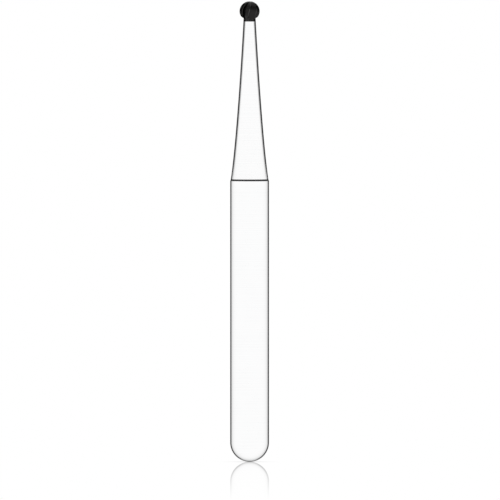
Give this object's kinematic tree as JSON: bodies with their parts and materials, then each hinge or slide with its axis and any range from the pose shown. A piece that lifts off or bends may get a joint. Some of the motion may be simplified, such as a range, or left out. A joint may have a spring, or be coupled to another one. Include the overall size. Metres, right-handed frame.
{
  "type": "round carbide burr",
  "caption": "Slim round burr: a fluted carbide ball on a tapering steel neck and a straight, round-ended shank that a handpiece's chuck grips.",
  "frame": {"origin": "on the axis at the shoulder, where the tapering neck meets the straight shank", "axes": "+Z along the axis from the shoulder up to the cutting ball; X and Y are across it, with a blade's edge crossing the ball's equator on +X"},
  "size_m": [0.0016, 0.0016, 0.019],
  "materials": {
    "carbide": "satin",
    "steel": "polished"
  },
  "bodies": {
    "root": {"cutting_head": "carbide", "shank": "steel"}
  },
  "joints": []
}
